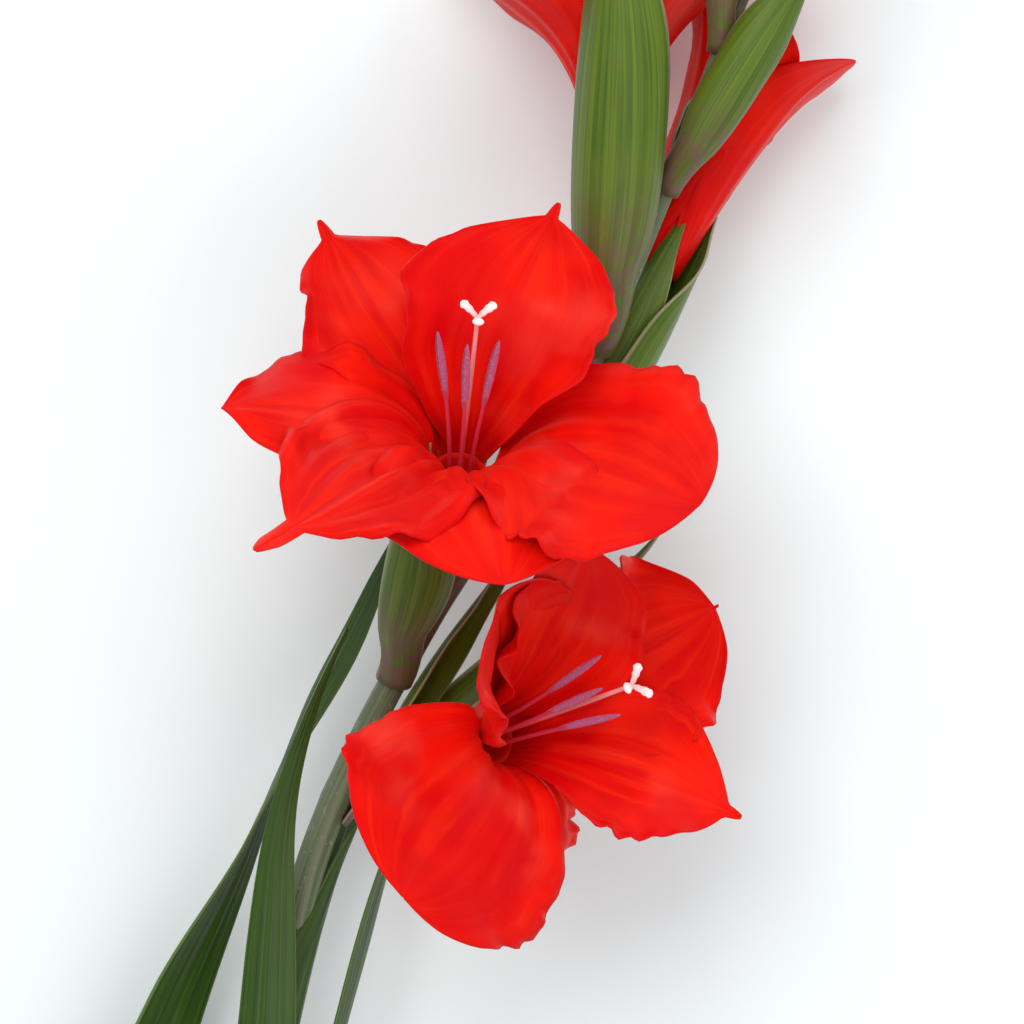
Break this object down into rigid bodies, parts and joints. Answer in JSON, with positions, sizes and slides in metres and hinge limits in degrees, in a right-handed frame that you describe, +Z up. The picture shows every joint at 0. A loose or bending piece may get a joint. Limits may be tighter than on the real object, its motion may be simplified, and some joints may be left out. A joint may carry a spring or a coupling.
{
  "type": "cut gladiolus",
  "caption": "Cut gladiolus spike lying down: tall leafy stem, large ruffled red flowers open to half-open, green bracts and closed buds at the tip.",
  "frame": {"origin": "bottom centre of the whole spike's bounding box, on the surface that it lies on", "axes": "+Y along the stem from its cut end to its tip, +Z up from the surface, +X to the right of the stem seen from above with the tip ahead"},
  "size_m": [0.134, 0.5198, 0.1172],
  "materials": {
    "petal_red": "satin, finely veined",
    "stamen_pink": "matte",
    "style_white": "satin",
    "stem_green": "satin, with a waxy bloom",
    "bract_green": "satin, ribbed lengthwise",
    "leaf_green": "satin, ribbed lengthwise",
    "bud_green": "satin"
  },
  "bodies": {
    "root": {"stem": "stem_green", "flower_1_style": "style_white", "flower_1_stamen_1": "stamen_pink", "flower_1_stamen_2": "stamen_pink", "flower_1_stamen_3": "stamen_pink", "flower_1_tepal_1": "petal_red", "flower_1_tepal_3": "petal_red", "flower_1_tepal_5": "petal_red", "flower_1_tepal_2": "petal_red", "flower_1_tepal_4": "petal_red", "flower_1_tepal_6": "petal_red", "flower_1_tube": "petal_red", "flower_1_inner_bract": "bract_green", "flower_1_outer_bract": "bract_green", "flower_2_style": "style_white", "flower_2_stamen_1": "stamen_pink", "flower_2_stamen_2": "stamen_pink", "flower_2_stamen_3": "stamen_pink", "flower_2_tepal_1": "petal_red", "flower_2_tepal_3": "petal_red", "flower_2_tepal_5": "petal_red", "flower_2_tepal_2": "petal_red", "flower_2_tepal_4": "petal_red", "flower_2_tepal_6": "petal_red", "flower_2_tube": "petal_red", "flower_2_inner_bract": "bract_green", "flower_2_outer_bract": "bract_green", "flower_3_tepal_1": "petal_red", "flower_3_tepal_3": "petal_red", "flower_3_tepal_5": "petal_red", "flower_3_tepal_2": "petal_red", "flower_3_tepal_4": "petal_red", "flower_3_tepal_6": "petal_red", "flower_3_tube": "petal_red", "flower_3_inner_bract": "bract_green", "flower_3_outer_bract": "bract_green", "flower_4_tepal_1": "petal_red", "flower_4_tepal_3": "petal_red", "flower_4_tepal_5": "petal_red", "flower_4_tepal_2": "petal_red", "flower_4_tepal_4": "petal_red", "flower_4_tepal_6": "petal_red", "flower_4_tube": "petal_red", "flower_4_inner_bract": "bract_green", "flower_4_outer_bract": "bract_green", "bud_5": "petal_red", "bud_5_outer_bract": "bract_green", "bud_5_inner_bract": "bract_green", "bud_6": "petal_red", "bud_6_outer_bract": "bract_green", "bud_7": "bud_green", "bud_7_outer_bract": "bract_green", "bud_8": "bud_green", "bud_8_outer_bract": "bract_green", "bud_9": "bud_green", "leaf_sheath": "leaf_green", "leaf_front": "leaf_green", "leaf_edge": "leaf_green", "leaf_back": "leaf_green", "leaf_low": "leaf_green"}
  },
  "joints": []
}
